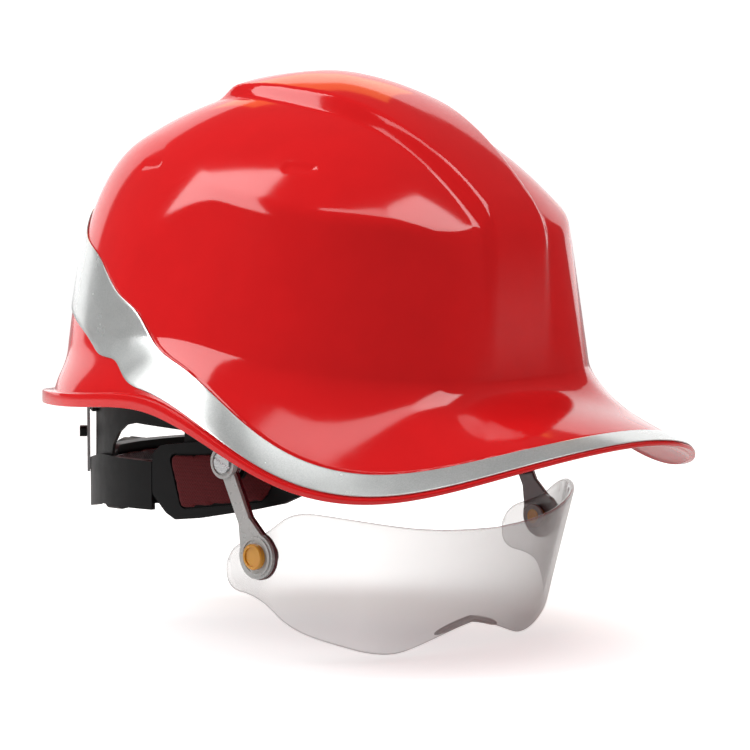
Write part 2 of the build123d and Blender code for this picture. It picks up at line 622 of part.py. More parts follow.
def lens_band(off_in, off_out):
    """Curved front of the lens as an upright band, swept back; offsets are outward."""
    def curve(off):
        points = []
        for t in linspace(-90, 90, 31):
            c, s = math.cos(math.radians(t)), math.sin(math.radians(t))
            depth = LENS_FRONT_Y - LENS_EAR_Y
            nx, ny = s / LENS_HALF_WIDTH, c / depth
            size = math.hypot(nx, ny)
            points.append((LENS_HALF_WIDTH * s + off * nx / size,
                           LENS_EAR_Y + depth * c + off * ny / size))
        return points

    a, b = curve(off_in), curve(off_out)[::-1]
    straight = [(0, -1), (0, 1)]
    edges = [Spline(*a, tangents=straight), Line(a[-1], b[0]),
             Spline(*b, tangents=straight), Line(b[-1], a[0])]
    lean = math.radians(LENS_TILT)
    lift = LENS_BAND_UP / math.cos(lean)
    face = Pos(0, -lift * math.sin(lean), LENS_LEVEL_Z + LENS_BAND_UP) * make_face(edges)
    length = (LENS_BAND_UP + LENS_BAND_DOWN) / math.cos(lean)
    return extrude(face, length, dir=(0, math.sin(lean), -math.cos(lean)))


def lens_ear():
    """Flat ear of the lens on the wearer's right, behind the curved front."""
    lean = math.tan(math.radians(LENS_TILT))
    ends = [(LENS_EAR_Y + (LENS_LEVEL_Z - z) * lean, z) for z in (LENS_EAR_BOTTOM, LENS_EAR_TOP)]
    face = make_face(Polyline(*LENS_EAR_VIEW, *ends, close=True))
    return x_plate(face, LENS_HALF_WIDTH - LENS_THICK / 2, LENS_HALF_WIDTH + LENS_THICK / 2)


def both_halves(outline):
    """Close a front view given for one half, from the top centre round to the bottom centre."""
    return outline + [(-x, z) for x, z in reversed(outline) if x > 0]


def make_lens():
    band = lens_band(-LENS_THICK / 2, LENS_THICK / 2)
    front = (band & front_view_prism(both_halves(LENS_FRONT_VIEW))) & side_view_prism(LENS_SIDE_VIEW)
    lens = front + lens_ear() + left_of(lens_ear())
    return lens - x_cylinder(TILT_R + 0.02, -120, 120, TILT_Y, TILT_Z)


def make_nose_pad():
    band = lens_band(-LENS_THICK / 2 - 2.3, -LENS_THICK / 2 - 0.05)
    return band & front_view_prism(both_halves(NOSE_PAD_FRONT_VIEW))


def arm_outline(grow=0.0):
    """Side view of an arm: hub, straight shank and round boss."""
    hub = Pos(HUB_Y, HUB_Z) * Circle(ARM_HUB_R + grow)
    boss = Pos(TILT_Y, TILT_Z) * Circle(ARM_BOSS_R + grow)
    dy, dz = TILT_Y - HUB_Y, TILT_Z - HUB_Z
    length = math.hypot(dy, dz)
    side = (-dz / length * (ARM_HALF + grow), dy / length * (ARM_HALF + grow))
    waist = (HUB_Y + dy * 0.62, HUB_Z + dz * 0.62)
    flare = (-dz / length * (ARM_BOSS_R + grow), dy / length * (ARM_BOSS_R + grow))
    shank = make_face(Polyline((HUB_Y + side[0], HUB_Z + side[1]),
                               (waist[0] + side[0], waist[1] + side[1]),
                               (TILT_Y + flare[0] * 0.97, TILT_Z + flare[1] * 0.97),
                               (TILT_Y - flare[0] * 0.97, TILT_Z - flare[1] * 0.97),
                               (waist[0] - side[0], waist[1] - side[1]),
                               (HUB_Y - side[0], HUB_Z - side[1]), close=True))
    return hub + boss + shank


def x_plate(face, x0, x1):
    """A side view face made into a plate on the wearer's right, x0 and x1 from the centre."""
    return Pos(-x0, 0, 0) * extrude(Plane.YZ * face, -(x1 - x0))


def make_arm():
    plate = x_plate(arm_outline(), *ARM_X)
    rim = x_plate(Pos(HUB_Y, HUB_Z) * Circle(ARM_HUB_R) - Pos(HUB_Y, HUB_Z) * Circle(ARM_HUB_R - ARM_RIM),
                  ARM_X[1] - 0.2, ARM_X[1] + 0.9)
    boss_rim = x_plate(Pos(TILT_Y, TILT_Z) * Circle(ARM_BOSS_R - 1.2)
                       - Pos(TILT_Y, TILT_Z) * Circle(ARM_BOSS_R - 2.4), ARM_X[1] - 0.2, ARM_X[1] + 0.5)
    arm = plate + rim + boss_rim
    arm -= x_cylinder(PIVOT_R + RUNNING_GAP, -100, -70, HUB_Y, HUB_Z)
    return arm - x_cylinder(TILT_R + RUNNING_GAP, -100, -70, TILT_Y, TILT_Z)


def make_spine():
    spine = x_plate(arm_outline(0.4), SPINE_X[0], SPINE_X[1] - 0.02)
    spine -= x_cylinder(PIVOT_R + RUNNING_GAP, -100, -70, HUB_Y, HUB_Z)
    return spine - x_cylinder(TILT_R + RUNNING_GAP, -100, -70, TILT_Y, TILT_Z)


def make_bracket():
    plate = Pos(HUB_Y, HUB_Z) * Circle(BRACKET_HALF) \
        + Pos(HUB_Y, (HUB_Z + BRACKET_TOP) / 2) * Rectangle(2 * BRACKET_HALF, BRACKET_TOP - HUB_Z)
    bracket = x_plate(plate, *BRACKET_X) - x_cylinder(PIVOT_R + 0.03, -100, -70, HUB_Y, HUB_Z)
    for z in BRACKET_SCREW_Z:
        bracket -= x_cylinder(SCREW_R + 0.15, -100, -70, HUB_Y, z)
    return bracket


def make_pivot_screw():
    """Slotted screw that carries an arm, with its nut formed on the inner end."""
    head = x_cylinder(PIVOT_HEAD_R, -PIVOT_HEAD_X[0], -PIVOT_HEAD_X[1], HUB_Y, HUB_Z)
    shank = x_cylinder(PIVOT_R, -PIVOT_HEAD_X[0] - 0.1, -79.0, HUB_Y, HUB_Z)
    slot = Pos(-PIVOT_HEAD_X[1], HUB_Y, HUB_Z) * (Rot(25, 0, 0) * Box(1.4, 10, 0.9))
    return head + shank - slot


def make_pivot_nut():
    face = Pos(HUB_Y, HUB_Z) * (RegularPolygon(4.2, 6) - Circle(PIVOT_R + 0.02))
    return x_plate(face, 79.1, 81.15)


def make_washer():
    face = Pos(HUB_Y, HUB_Z) * (Circle(WASHER_R) - Circle(PIVOT_R + RUNNING_GAP))
    return x_plate(face, *WASHER_X)


def make_tilt_knob():
    """Press knob through the arm into the lens, with its inner flange."""
    head = x_cylinder(TILT_KNOB_R, -TILT_KNOB_X[0], -TILT_KNOB_X[1], TILT_Y, TILT_Z)
    head = chamfer(head.faces().sort_by(Axis.X)[0].edges(), 0.5)
    head -= x_cylinder(TILT_KNOB_R - 1.3, -TILT_KNOB_X[1] + 0.6, -TILT_KNOB_X[1] - 1, TILT_Y, TILT_Z)
    shank = x_cylinder(TILT_R, -TILT_KNOB_X[0] - 0.1, -TILT_FLANGE_X[0], TILT_Y, TILT_Z)
    return head + shank


def make_tilt_flange():
    face = Pos(TILT_Y, TILT_Z) * (Circle(5.0) - Circle(TILT_R + 0.02))
    return x_plate(face, *TILT_FLANGE_X)


def make_bosses():
    """Posts inside the shell that the bracket screws go into, and their holes."""
    posts, holes = [], []
    for side in (-1, 1):
        for z in BRACKET_SCREW_Z:
            gap = wall_distance(side * BRACKET_X[1], HUB_Y, side, 0.0, z)
            face = side * (BRACKET_X[1] + 0.05)
            posts.append(x_cylinder(BOSS_R, face, side * (BRACKET_X[1] + gap + 1.3), HUB_Y, z))
            end = side * (BRACKET_X[1] + BRACKET_SCREW_BITE + 0.3)
            holes.append(x_cylinder(SCREW_R + 0.03, side * BRACKET_X[1], end, HUB_Y, z))
    return posts, holes


def make_bracket_screws():
    screws = []
    for side in (-1, 1):
        for z in BRACKET_SCREW_Z:
            shank = x_cylinder(SCREW_R, side * (BRACKET_X[0] - 0.2), side * (BRACKET_X[1] + BRACKET_SCREW_BITE), HUB_Y, z)
            head = x_cylinder(2.8, side * (BRACKET_X[0] - 1.8), side * (BRACKET_X[0] - 0.05), HUB_Y, z)
            screws.append(shank + head)
    return screws


def make_trim():
    """Reflective film that follows the skin between two heights above the rim."""
    phi = np.arange(RING_POINTS) * 2 * np.pi / RING_POINTS
    rho, z = skin_profile(phi, 60, 40)
    rho, z = rho[::-1], z[::-1]
    along = np.vstack([np.zeros(len(phi)), np.cumsum(np.hypot(np.diff(rho, axis=0), np.diff(z, axis=0)), axis=0)])
    low, high = keyed(TRIM_LOW, phi), keyed(TRIM_HIGH, phi)
    layers = []
    for distance in (TRIM_GAP, TRIM_GAP + TRIM_THICK):
        off_r, off_z = offset_profile(rho[::-1], z[::-1], distance)
        off_r, off_z = off_r[::-1], off_z[::-1]
        rings = []
        for share in linspace(0.0, 1.0, 6):
            at = low + (high - low) * share
            rings.append(ring_wire(phi,
                                   [np.interp(at[i], along[:, i], off_r[:, i]) for i in range(len(phi))],
                                   [np.interp(at[i], along[:, i], off_z[:, i]) for i in range(len(phi))]))
        layers.append(rings)
    inner, outer = layers
    return closed_solid([Shell.make_loft(outer), Shell.make_loft(inner),
                         Shell.make_loft([inner[0], outer[0]], ruled=True),
                         Shell.make_loft([inner[-1], outer[-1]], ruled=True)])


# ---------------------------------------------------------------- assembly
def build():
    clips, sockets = [], []
    for name, theta in ANCHORS.items():
        for side in (1, -1):
            clip, socket = make_anchor(side * theta, ANCHOR_SOCKET_Z[name])
            clips.append(clip)
            sockets.append(socket)
    posts, holes = make_bosses()
    shell = make_shell().fuse(*[piece.solid() for piece in sockets + posts]).cut(*holes)

    front, side, rear = ANCHORS["front"], ANCHORS["side"], ANCHORS["rear"]
    nodes = {
        "shell": shell,
        "trim_band": make_trim(),
        "headband": make_headband(),
        "brow_pad": make_brow_pad(),
        "nape_pad": make_nape_pad(),
        "anchor_clips": clips,
        "crown_strap_side": make_crown_strap(side, -side, CROWN_STRAP_TOP["side"]),
        "crown_strap_right": make_crown_strap(front, -rear, CROWN_STRAP_TOP["right"]),
        "crown_strap_left": make_crown_strap(-front, rear, CROWN_STRAP_TOP["left"]),
        "crown_pad": make_crown_pad(),
        "ratchet_base": make_ratchet_base(),
        "ratchet_cover": make_ratchet_cover(),
        "ratchet_pinion": make_pinion(),
        "ratchet_knob": make_knob(),
        "size_strap_right": make_strap(1),
        "size_strap_left": make_strap(-1),
        "bracket_screws": make_bracket_screws(),
        "lens": make_lens(),
        "nose_pad": make_nose_pad(),
    }
    pairs = {
        "nape_yoke": make_yoke(),
        "side_frame": make_side_frame(),
        "side_pad": make_side_pad(),
        "height_strip": make_height_strip(),
        "height_peg": make_height_peg(),
        "visor_bracket": make_bracket(),
        "pivot_screw": make_pivot_screw(),
        "pivot_nut": make_pivot_nut(),
        "pivot_washer": make_washer(),
        "visor_arm": make_arm(),
        "arm_spine": make_spine(),
        "tilt_knob": make_tilt_knob(),
        "tilt_flange": make_tilt_flange(),
    }
    for name, right in pairs.items():
        nodes[name + "_right"] = right
        nodes[name + "_left"] = left_of(right)
    return nodes


if __name__ == "__main__":
    for name, made in build().items():
        solids = made if isinstance(made, list) else [made]
        solids = [solid for item in solids for solid in item.solids()]
        whole = solids[0] if len(solids) == 1 else Compound(children=solids)
        export_step(whole, f"parts/{name}.step")
        print(name, len(solids), round(sum(s.volume for s in solids)), all(s.is_valid for s in solids))
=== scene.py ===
import math
import bmesh
import bpy
import numpy as np
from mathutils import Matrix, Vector


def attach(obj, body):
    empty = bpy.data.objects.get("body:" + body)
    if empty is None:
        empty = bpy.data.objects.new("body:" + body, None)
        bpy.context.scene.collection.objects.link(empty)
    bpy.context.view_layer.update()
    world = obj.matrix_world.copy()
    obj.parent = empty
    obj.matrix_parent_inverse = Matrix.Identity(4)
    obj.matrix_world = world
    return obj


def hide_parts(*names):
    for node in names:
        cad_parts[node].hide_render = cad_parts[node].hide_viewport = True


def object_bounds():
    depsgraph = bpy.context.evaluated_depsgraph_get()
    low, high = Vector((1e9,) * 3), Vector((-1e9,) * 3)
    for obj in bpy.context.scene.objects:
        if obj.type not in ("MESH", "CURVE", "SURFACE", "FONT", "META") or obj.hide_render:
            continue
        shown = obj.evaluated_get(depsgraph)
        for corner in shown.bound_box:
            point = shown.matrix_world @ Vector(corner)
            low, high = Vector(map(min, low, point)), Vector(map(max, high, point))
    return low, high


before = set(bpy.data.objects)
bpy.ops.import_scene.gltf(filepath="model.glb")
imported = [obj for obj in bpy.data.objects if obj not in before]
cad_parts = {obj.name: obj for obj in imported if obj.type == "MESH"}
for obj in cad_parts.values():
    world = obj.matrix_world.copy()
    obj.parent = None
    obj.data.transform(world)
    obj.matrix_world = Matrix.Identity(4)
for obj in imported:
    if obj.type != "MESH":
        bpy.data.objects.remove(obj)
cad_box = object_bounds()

# Looks of a cap-shaped safety helmet with a swing-down eye shield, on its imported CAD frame.
# The form is worked out in millimetres and turned into metres when a mesh is made.
# The wearer faces -Y, the wearer's right is -X, +Z is up.  Azimuth phi is 0 at the front
# centre and 180 degrees at the back centre.

MM = 0.001

# ---------------------------------------------------------------- shell form, driving dimensions
WALL_THICK = 2.4
CROWN_Z = 116.5
DOME_SIDE, DOME_FRONT, DOME_BACK = 110.5, 126.0, 138.0
DOME_PLAN_POWER = 2.34
DOME_RISE_FRONT, DOME_RISE_BACK = 1.66, 1.96
WALL_SIDE, WALL_FRONT, WALL_BACK = 95.0, 109.0, 120.5
WALL_PLAN_POWER = 2.15
WALL_TAPER_SIDE, WALL_TAPER_FRONT, WALL_TAPER_BACK = 0.0023, 0.0010, 0.0006
PANEL_Y = 102.0
PANEL_LEAN = 2.6
PANEL_ROUND = 4.0
CREASE_ROUND, CREASE_ROUND_BACK = 2.0, 27.0

RIDGE_RISE = 4.5
RIDGE_HALF_BROW, RIDGE_HALF_CROWN, RIDGE_HALF_REAR = 17.0, 32.0, 24.0
RIDGE_EDGE_REAR, RIDGE_EDGE_BROW = 4.0, 8.0    # the step softens towards the brow
RIDGE_FRONT_Y, RIDGE_BACK_Y = -110.0, 42.0

FOLD_Z = {0: 0, 30: 2.5, 60: 7.6, 90: 17, 112: 15, 137: 8, 160: 1, 180: 0}
RIM_RADIUS = {0: 160, 20: 155.6, 39: 142.6, 55: 128.2, 75: 113, 90: 105.5, 115: 108.5,
              137: 114.5, 160: 123.4, 180: 127}
RIM_Z = {0: -21.5, 20: -28.4, 39: -39, 55: -34.4, 75: -14.6, 90: -6.6, 110: -7.6,
         140: -11.3, 160: -14.2, 180: -15}
RIM_SLOPE = {0: 22, 39: 42, 80: 62, 105: 70, 140: 75, 180: 75}
LEDGE = {0: 0.3, 36: 0.3, 55: 0.8, 80: 3.5, 105: 4.5, 180: 5.5}
LIP = {0: 1.6, 36: 1.8, 55: 2.8, 80: 5.0, 105: 5.5, 180: 5.5}
FOLD_PULL = {0: 10, 39: 12, 80: 8, 110: 8, 180: 6}
RIM_PULL = {0: 30, 39: 22, 80: 14, 110: 10, 180: 8}
LIP_THICK = 2.6
LIP_ROUND = 0.6

TRIM_LOW = {0: 0.8, 60: 1, 92: 2, 99: 5, 107: 14, 115: 17, 126: 25, 131: 28, 151: 38, 180: 45}
TRIM_HIGH = {0: 10, 41: 12, 63: 14, 82: 17, 97: 24, 104: 34, 114: 43, 127: 57, 144: 68,
             151: 76, 180: 82}
TRIM_THICK, TRIM_GAP = 0.5, 0.2
GROOVE_DEPTH, GROOVE_WIDTH = 0.45, 1.3      # fine channel moulded along the band's upper edge

# oval blind vents in the dome: centre azimuth and height, length, width, depth, slant
VENTS = [(57, 83, 14.5, 4.2, 0.5, 4), (118, 83, 14.5, 4.2, 0.5, -6)]

COLUMNS, DOME_ROWS, SKIRT_ROWS = 480, 130, 110

# ---------------------------------------------------------------- harness, driving dimensions
RING_R, RING_Y, RING_FRONT, RING_POWER = 76.0, 30.0, 109.0, 2.3
ANCHOR_THETA = {"front": 140.0, "side": 98.7, "rear": 52.0}
STRAP_WIDTH, STRAP_THICK, STRAP_FOOT, STRAP_INSET = 18.0, 1.2, -12.0, 1.8
STRAP_TOP = {"side": 84.0, "right": 86.2, "left": 88.4}
STRAP_ARCH_POWER = 0.85
STRAP_STEPS = 160
RIB_PITCH, YARN_PITCH = 1.6, 1.2               # webbing weave, along and across
EDGE_ROUND, EDGE_ANGLE = 0.25, 40              # worn edge on every CAD piece that shows
# soft pads: voxel size, how much smaller the start is, how far a point may move, fill
PADS = {"brow_pad": (2.2, 0.7, 1.0, 0.7), "nape_pad": (2.0, 0.7, 0.9, 0.7),
        "crown_pad": (3.0, 0.7, 1.4, 0.7), "side_pad_right": (1.2, 0.25, 0.4, 0.8),
        "side_pad_left": (1.2, 0.25, 0.4, 0.8)}


# ---------------------------------------------------------------- lens, driving dimensions
LENS_HALF_WIDTH, LENS_EAR_Y, LENS_FRONT_Y = 83.2, -44.0, -90.0
LENS_LEVEL_Z, LENS_TILT, LENS_THICK = -57.7, 17.0, 2.2
LENS_EAR_REACH = 30.0
# edges of one half: length round the lens from its middle, and height
LENS_TOP = [(0, -60), (22, -59.2), (42, -57.4), (61, -54), (78, -50.9), (88, -49.6), (93, -50.2),
            (97, -52.0), (100, -54.6), (104, -58), (108, -60.1), (114, -62.2), (118, -64),
            (120.6, -66.8), (121.5, -70.5), (121.5, -73)]
LENS_BOTTOM = [(0, -99.3), (8, -100.7), (18, -103.5), (28, -106.6), (36, -108.8), (44, -108.8),
               (54, -106.9), (63, -104), (71, -101.5), (80, -98.2), (88, -93.8), (94, -89),
               (98, -86.3), (103, -84.4), (109, -83.2), (113, -83), (117, -81.3), (120, -78),
               (121.5, -73)]
LENS_COLUMNS, LENS_ROWS = 260, 16
NOSE_REACH = 19.0               # half length of the soft edging over the nose
NOSE_DEPTH, NOSE_HEIGHT, NOSE_INSET, NOSE_LIFT = 4.4, 2.8, -1.9, 1.1
NOSE_STEPS, NOSE_SIDES = 90, 16


# ---------------------------------------------------------------- form functions
def keyed(keys, phi):
    """Smooth even curve through {azimuth in degrees: value}, at azimuths phi in radians."""
    at = np.radians(np.array(sorted(keys), float))
    val = np.array([keys[k] for k in sorted(keys)], float)
    n, h = len(at), np.diff(at)
    m, rhs = np.zeros((n, n)), np.zeros(n)
    m[0, :2] = 2 * h[0], h[0]
    m[-1, -2:] = h[-1], 2 * h[-1]
    rhs[0] = 6 * (val[1] - val[0]) / h[0]
    rhs[-1] = -6 * (val[-1] - val[-2]) / h[-1]
    for i in range(1, n - 1):
        m[i, i - 1:i + 2] = h[i - 1], 2 * (h[i - 1] + h[i]), h[i]
        rhs[i] = 6 * ((val[i + 1] - val[i]) / h[i] - (val[i] - val[i - 1]) / h[i - 1])
    bend = np.linalg.solve(m, rhs)
    x = np.abs((np.asarray(phi, float) + np.pi) % (2 * np.pi) - np.pi)
    i = np.clip(np.searchsorted(at, x) - 1, 0, n - 2)
    left, right = at[i + 1] - x, x - at[i]
    cubic = (bend[i] * left ** 3 + bend[i + 1] * right ** 3) / (6 * h[i])
    return (cubic + (val[i] / h[i] - bend[i] * h[i] / 6) * left
            + (val[i + 1] / h[i] - bend[i + 1] * h[i] / 6) * right)


def soft_min(a, b, width):
    """The smaller of a and b, with the corner rounded over a width."""
    mix = np.clip(0.5 + 0.5 * (b - a) / width, 0, 1)
    return b + (a - b) * mix - width * mix * (1 - mix)


def smooth(t):
    t = np.clip(t, 0, 1)
    return t * t * (3 - 2 * t)


def dome_radius(dx, dy, dz):
    """Distance from the origin to the skin above the fold, along a unit direction."""
    level = np.hypot(dx, dy) + 1e-9
    ahead = -dy / level
    dome_y = np.where(dy < 0, DOME_FRONT, DOME_BACK)
    wall_y = np.where(dy < 0, WALL_FRONT, WALL_BACK)
    rise = DOME_RISE_BACK + (DOME_RISE_FRONT - DOME_RISE_BACK) * smooth((ahead + 0.7) / 1.4)
    plan = np.abs(dx / DOME_SIDE) ** DOME_PLAN_POWER + np.abs(dy / dome_y) ** DOME_PLAN_POWER
    dome = (plan ** (rise / DOME_PLAN_POWER) + np.abs(dz / CROWN_Z) ** rise) ** (-1 / rise)
    plan = np.abs(dx / WALL_SIDE) ** WALL_PLAN_POWER + np.abs(dy / wall_y) ** WALL_PLAN_POWER
    taper_y = np.where(dy < 0, WALL_TAPER_FRONT, WALL_TAPER_BACK)
    taper = WALL_TAPER_SIDE * (dx / level) ** 2 + taper_y * (dy / level) ** 2
    wall = 1 / (plan ** (1 / WALL_PLAN_POWER) + taper * dz + 1e-9)
    lean = math.radians(PANEL_LEAN)
    facing = np.maximum(-dy * math.cos(lean) + dz * math.sin(lean), 0.05)
    panel = PANEL_Y * math.cos(lean) / facing
    rounding = CREASE_ROUND + (CREASE_ROUND_BACK - CREASE_ROUND) * smooth(0.2 - ahead)
    return soft_min(soft_min(dome, wall, rounding), panel, PANEL_ROUND)


def ridge_rise(x, y):
    """Height of the raised crown panel above the dome, at a point in plan."""
    half = (RIDGE_HALF_BROW
            + (RIDGE_HALF_CROWN - RIDGE_HALF_BROW) * smooth((y + 105) / 110)
            - (RIDGE_HALF_CROWN - RIDGE_HALF_REAR) * smooth((y - 10) / 50))
    edge = RIDGE_EDGE_REAR + (RIDGE_EDGE_BROW - RIDGE_EDGE_REAR) * smooth((30 - y) / 70)
    across = smooth((half + edge / 2 - np.abs(x)) / edge)
    along = smooth((RIDGE_BACK_Y - y) / 18) * smooth((y - RIDGE_FRONT_Y) / 20)
    return RIDGE_RISE * across * along


def vent_depth(phi, rho, z):
    """How far the skin sinks into the oval vents, on both sides of the dome."""
    depth = np.zeros_like(z)
    for azimuth, height, length, width, deep, slant in VENTS:
        for side in (-1, 1):
            turn = (phi * side - math.radians(azimuth) + np.pi) % (2 * np.pi) - np.pi
            along, up = turn * rho, (z - height) * 1.15
            tilt = math.radians(slant)
            along, up = (along * math.cos(tilt) + up * math.sin(tilt),
                         up * math.cos(tilt) - along * math.sin(tilt))
            core = np.clip(along, -(length - width) / 2, (length - width) / 2)
            away = np.hypot(along - core, up) - width / 2
            depth += deep * smooth(-away / 1.3)
    return depth


def skin_profile(phi, dome_rows, skirt_rows):
    """Radius and height of the outer skin, one row per ring from near the crown to the rim."""
    sx, sy = np.sin(phi), -np.cos(phi)
    fold = keyed(FOLD_Z, phi)
    low = np.zeros_like(phi)
    for _ in range(12):
        r = dome_radius(np.cos(low) * sx, np.cos(low) * sy, np.sin(low))
        low = np.arctan2(fold, r * np.cos(low))
    t = np.linspace(0, 1, dome_rows + 1)[1:, None]
    rise = (np.pi / 2) * (1 - t) + low * t
    r = dome_radius(np.cos(rise) * sx, np.cos(rise) * sy, np.sin(rise))
    r = r + ridge_rise(r * np.cos(rise) * sx, r * np.cos(rise) * sy) * smooth(np.sin(rise) / 0.5)
    rho, z = r * np.cos(rise), r * np.sin(rise)
    foot = np.stack([rho[-1], z[-1]])
    step = foot - np.stack([rho[-2], z[-2]])
    step = step / np.linalg.norm(step, axis=0)
    slope = np.radians(keyed(RIM_SLOPE, phi))
    edge = np.stack([keyed(RIM_RADIUS, phi), keyed(RIM_Z, phi)])
    pull_a = foot + step * keyed(FOLD_PULL, phi)
    pull_b = edge - np.stack([np.cos(slope), -np.sin(slope)]) * keyed(RIM_PULL, phi)
    s = np.linspace(0, 1, skirt_rows + 1)[1:, None, None]
    skirt = ((1 - s) ** 3 * foot + 3 * (1 - s) ** 2 * s * pull_a
             + 3 * (1 - s) * s ** 2 * pull_b + s ** 3 * edge)
    return np.vstack([rho, skirt[:, 0]]), np.vstack([z, skirt[:, 1]])


def offset_profile(rho, z, distance):
    """Move each profile square to itself; positive is outward."""
    drho, dz = np.gradient(rho, axis=0), np.gradient(z, axis=0)
    length = np.hypot(drho, dz)
    return rho - dz / length * distance, z + drho / length * distance


def up_from_rim(rho, z):
    """Length along each profile, measured upward from the rim."""
    steps = np.hypot(np.diff(rho, axis=0), np.diff(z, axis=0))
    return np.vstack([np.cumsum(steps[::-1], axis=0)[::-1], np.zeros(rho.shape[1])])


def rounded(rows, radius):
    """Profile rows with each inner corner replaced by a short arc of three rows."""
    out = [rows[0]]
    for before, corner, after in zip(rows, rows[1:], rows[2:]):
        arms = []
        for other in (before, after):
            away = other - corner
            size = np.linalg.norm(away, axis=0)
            arms.append(away / size * np.minimum(radius, 0.45 * size))
        out += [corner + arms[0], corner + (arms[0] + arms[1]) / 4, corner + arms[1]]
    return out + [rows[-1]]


# ---------------------------------------------------------------- mesh helpers
def add_piece(name, points, faces, smooth_angle=None):
    """A mesh object from points in millimetres, with smooth faces."""
    mesh = bpy.data.meshes.new(name)
    mesh.from_pydata((np.asarray(points, float) * MM).tolist(), [], faces)
    mesh.update()
    made = bmesh.new()
    made.from_mesh(mesh)
    bmesh.ops.recalc_face_normals(made, faces=made.faces)
    made.to_mesh(mesh)
    made.free()
    mesh.polygons.foreach_set("use_smooth", [True] * len(mesh.polygons))
    piece = bpy.data.objects.new(name, mesh)
    bpy.context.scene.collection.objects.link(piece)
    if smooth_angle:
        mesh.set_sharp_from_angle(angle=math.radians(smooth_angle))
    return piece


def grid_faces(rows, columns, wrap_rows=False, wrap_columns=True, first=0):
    faces = []
    for i in range(rows if wrap_rows else rows - 1):
        for j in range(columns if wrap_columns else columns - 1):
            a, b = first + i * columns, first + (i + 1) % rows * columns
            k = (j + 1) % columns
            faces.append((a + j, a + k, b + k, b + j))
    return faces


def turned(phi, rho, z):
    """Points of profile rows, each row one ring round the upright axis."""
    rho, z = np.broadcast_arrays(rho, z)
    x, y = rho * np.sin(phi), -rho * np.cos(phi)
    return np.stack([x, y, z], -1).reshape(-1, 3)


def finish_piece(piece, body, material, slot, *nodes):
    piece.data.materials.clear()
    piece.data.materials.append(material)
    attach(piece, body)
    if nodes:
        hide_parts(*nodes)
    return piece


# ---------------------------------------------------------------- material helpers
class Nodes:
    """A material's node tree, with short ways to add and link nodes."""

    def __init__(self, name):
        self.material = bpy.data.materials.new(name)
        self.material.use_nodes = True
        self.tree = self.material.node_tree
        self.shader = self.tree.nodes["Principled BSDF"]
        self.place = self.add("ShaderNodeTexCoord").outputs["Object"]

    def add(self, kind, **settings):
        node = self.tree.nodes.new(kind)
        for key, value in settings.items():
            setattr(node, key, value)
        return node

    def link(self, source, target):
        self.tree.links.new(source, target)

    def set(self, **values):
        for key, value in values.items():
            self.shader.inputs[key.replace("_", " ")].default_value = value

    def noise(self, scale, detail=3.0, place=None):
        node = self.add("ShaderNodeTexNoise")
        node.inputs["Scale"].default_value = scale
        node.inputs["Detail"].default_value = detail
        self.link(place or self.place, node.inputs["Vector"])
        return node.outputs["Fac"]

    def math(self, operation, a, b=None):
        node = self.add("ShaderNodeMath", operation=operation)
        for socket, value in zip(node.inputs, (a, b)):
            if isinstance(value, (int, float)):
                socket.default_value = value
            elif value is not None:
                self.link(value, socket)
        return node.outputs[0]

    def spread(self, source, low, high, source_low=0.3, source_high=0.7):
        node = self.add("ShaderNodeMapRange")
        node.inputs["From Min"].default_value = source_low
        node.inputs["From Max"].default_value = source_high
        node.inputs["To Min"].default_value = low
        node.inputs["To Max"].default_value = high
        self.link(source, node.inputs["Value"])
        return node.outputs["Result"]

    def blend(self, fac, colour_a, colour_b):
        node = self.add("ShaderNodeMix", data_type="RGBA")
        self.link(fac, node.inputs["Factor"])
        for socket in node.inputs:
            if socket.type == "RGBA":
                socket.default_value = (*(colour_a if socket.name == "A" else colour_b), 1)
        return next(s for s in node.outputs if s.type == "RGBA")

    def bump(self, height, depth_mm, strength=1.0):
        node = self.add("ShaderNodeBump")
        node.inputs["Strength"].default_value = strength
        node.inputs["Distance"].default_value = depth_mm * MM
        self.link(height, node.inputs["Height"])
        self.link(node.outputs["Normal"], self.shader.inputs["Normal"])

    def round_and_up(self, centre_y=0.0):
        """Length round the upright axis and height, in metres, for cloth wrapped round it."""
        split = self.add("ShaderNodeSeparateXYZ")
        self.link(self.place, split.inputs[0])
        y = self.math("SUBTRACT", split.outputs["Y"], centre_y * MM)
        angle = self.math("ARCTAN2", split.outputs["X"], y)
        return self.math("MULTIPLY", angle, RING_R * MM), split.outputs["Z"]


def moulded(name, colour, rough, grain_mm, grain_depth_mm, shade=0.8, spread=0.08, **values):
    """Plastic with a fine grain, uneven gloss and slight clouding of its colour."""
    n = Nodes(name)
    n.set(**values)
    cloud = n.noise(60.0, 4.0)
    n.link(n.blend(n.spread(cloud, 0, 1), [c * shade for c in colour], colour),
           n.shader.inputs["Base Color"])
    n.link(n.spread(n.noise(180.0, 5.0), rough - spread / 2, rough + spread / 2),
           n.shader.inputs["Roughness"])
    n.bump(n.noise(1000.0 / grain_mm, 2.0), grain_depth_mm)
    return n.material


